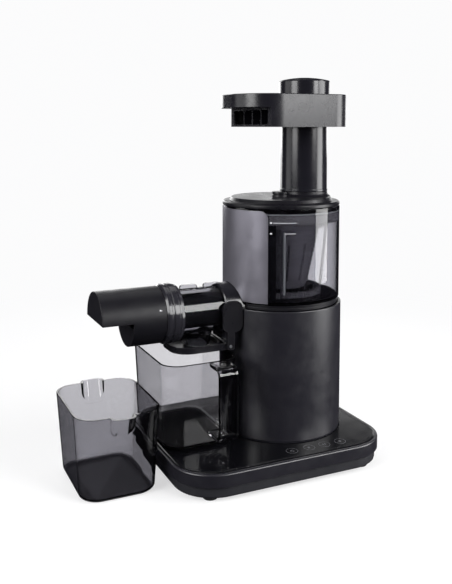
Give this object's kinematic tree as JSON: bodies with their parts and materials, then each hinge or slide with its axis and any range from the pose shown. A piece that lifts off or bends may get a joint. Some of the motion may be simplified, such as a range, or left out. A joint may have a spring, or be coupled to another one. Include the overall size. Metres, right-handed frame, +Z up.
{
  "type": "slow juicer",
  "caption": "Vertical slow juicer: motor base, clear screw bowl with sideways outlet nozzle and drip stop, feed tube with tray and pusher, juice jug and pulp bin.",
  "frame": {"origin": "centre of the bounding box's underside, on the table that the feet and the pulp bin stand on", "axes": "+Z up along the motor and screw axis, -Y towards the user and the touch keys, -X towards the outlet nozzle, jug and pulp bin"},
  "size_m": [0.34, 0.209, 0.429],
  "materials": {
    "satin_shell": "satin metallic anthracite",
    "satin_cover": "satin metallic grey",
    "gloss_black": "polished black",
    "dark_plastic": "fine moulded texture",
    "smoke_clear": "polished smoke-tinted clear plastic",
    "clear_plastic": "polished clear plastic",
    "rubber": "matt black rubber",
    "silicone": "grey silicone",
    "grey_plastic": "moulded engineering plastic",
    "steel": "turned steel",
    "brass": "turned brass"
  },
  "bodies": {
    "base": {"base_pan": "dark_plastic", "base_shell": "satin_shell", "deck_panel": "gloss_black", "cord_gland": "rubber", "power_board": "grey_plastic", "touch_board": "grey_plastic", "foot_1": "rubber", "foot_2": "rubber", "foot_3": "rubber", "foot_4": "rubber", "base_screw_1": "steel", "base_screw_2": "steel", "base_screw_3": "steel", "base_screw_4": "steel", "motor_housing": "satin_shell", "joint_ring": "dark_plastic", "drive_deck": "dark_plastic", "shaft_seal": "rubber", "motor_can": "steel", "motor_end_cap": "dark_plastic", "gearbox_base": "grey_plastic", "gearbox_cover": "grey_plastic", "intermediate_axle": "steel", "lower_bearing": "steel", "upper_bearing": "steel"},
    "drive": {"output_gear": "steel", "drive_shaft": "steel"},
    "intermediate": {"intermediate_gear": "steel"},
    "rotor": {"motor_shaft": "steel", "motor_rotor": "steel", "motor_pinion": "brass"},
    "bowl": {"bowl": "smoke_clear", "bowl_cover": "satin_cover", "bowl_seal": "silicone", "strainer_basket": "clear_plastic", "outlet_neck": "gloss_black", "snout_tube": "smoke_clear", "pulp_drum": "dark_plastic", "juice_spout": "clear_plastic", "flap_pin": "steel"},
    "screw": {"auger": "dark_plastic"},
    "wiper": {"wiper_frame": "smoke_clear", "wiper_blade_1": "silicone", "wiper_blade_2": "silicone"},
    "idler": {"idler_gear": "grey_plastic"},
    "seal_ring": {"lid_seal": "silicone"},
    "lid": {"lid": "gloss_black", "auger_bush": "brass"},
    "hopper": {"feed_tube": "gloss_black", "hopper_tray": "gloss_black"},
    "pusher": {"pusher": "gloss_black"},
    "lock_ring": {"lock_ring": "smoke_clear"},
    "nozzle": {"pulp_nozzle": "gloss_black"},
    "drip_stop": {"drip_flap": "gloss_black", "drip_seal": "silicone"},
    "jug": {"jug": "smoke_clear"},
    "bin": {"pulp_bin": "smoke_clear"}
  },
  "joints": [
    {"name": "drive_spin", "type": "hinge", "parent": "base", "child": "drive", "pos_m": [0.083, 0, 0.12], "axis": [0, 0, 1], "continuous": true},
    {"name": "intermediate_spin", "type": "hinge", "parent": "base", "child": "intermediate", "pos_m": [0.083, 0.0325, 0.11], "axis": [0, 0, 1], "continuous": true},
    {"name": "motor_spin", "type": "hinge", "parent": "base", "child": "rotor", "pos_m": [0.10244, 0.01306, 0.07], "axis": [0, 0, 1], "continuous": true},
    {"name": "bowl_lift", "type": "slide", "parent": "base", "child": "bowl", "axis": [0, 0, 1], "range_m": [0, 0.12]},
    {"name": "auger_spin", "type": "hinge", "parent": "bowl", "child": "screw", "pos_m": [0.083, 0, 0.2], "axis": [0, 0, 1], "continuous": true},
    {"name": "idler_spin", "type": "hinge", "parent": "bowl", "child": "idler", "pos_m": [0.112, 0, 0.188], "axis": [0, 0, 1], "continuous": true},
    {"name": "wiper_spin", "type": "hinge", "parent": "bowl", "child": "wiper", "pos_m": [0.083, 0, 0.188], "axis": [0, 0, 1], "continuous": true},
    {"name": "lid_lift", "type": "slide", "parent": "bowl", "child": "seal_ring", "axis": [0, 0, 1], "range_m": [0, 0.08]},
    {"name": "lid_turn", "type": "hinge", "parent": "seal_ring", "child": "lid", "pos_m": [0.083, 0, 0.288], "axis": [0, 0, 1], "range_deg": [0, 30]},
    {"name": "hopper_lift", "type": "slide", "parent": "lid", "child": "hopper", "axis": [0, 0, 1], "range_m": [0, 0.06]},
    {"name": "pusher_slide", "type": "slide", "parent": "hopper", "child": "pusher", "axis": [0, 0, 1], "range_m": [0, 0.11]},
    {"name": "lock_ring_turn", "type": "hinge", "parent": "bowl", "child": "lock_ring", "pos_m": [-0.057, 0, 0.1718], "axis": [-1, 0, 0], "range_deg": [0, 40]},
    {"name": "nozzle_pull", "type": "slide", "parent": "bowl", "child": "nozzle", "axis": [-1, 0, 0], "range_m": [0, 0.06]},
    {"name": "drip_flap_swing", "type": "hinge", "parent": "bowl", "child": "drip_stop", "pos_m": [0.0057, 0, 0.1352], "axis": [0, -1, 0], "range_deg": [0, 60]},
    {"name": "jug_slide", "type": "slide", "parent": "base", "child": "jug", "axis": [0, -1, 0], "range_m": [0, 0.15]},
    {"name": "bin_slide", "type": "slide", "parent": "base", "child": "bin", "axis": [-1, 0, 0], "range_m": [0, 0.12]}
  ],
  "couplings": [
    {"joint": "intermediate_spin", "follows": "drive_spin", "ratio": -4},
    {"joint": "motor_spin", "follows": "drive_spin", "ratio": 16},
    {"joint": "auger_spin", "follows": "drive_spin", "ratio": 1},
    {"joint": "idler_spin", "follows": "drive_spin", "ratio": -1.2308},
    {"joint": "wiper_spin", "follows": "drive_spin", "ratio": -0.38095}
  ]
}
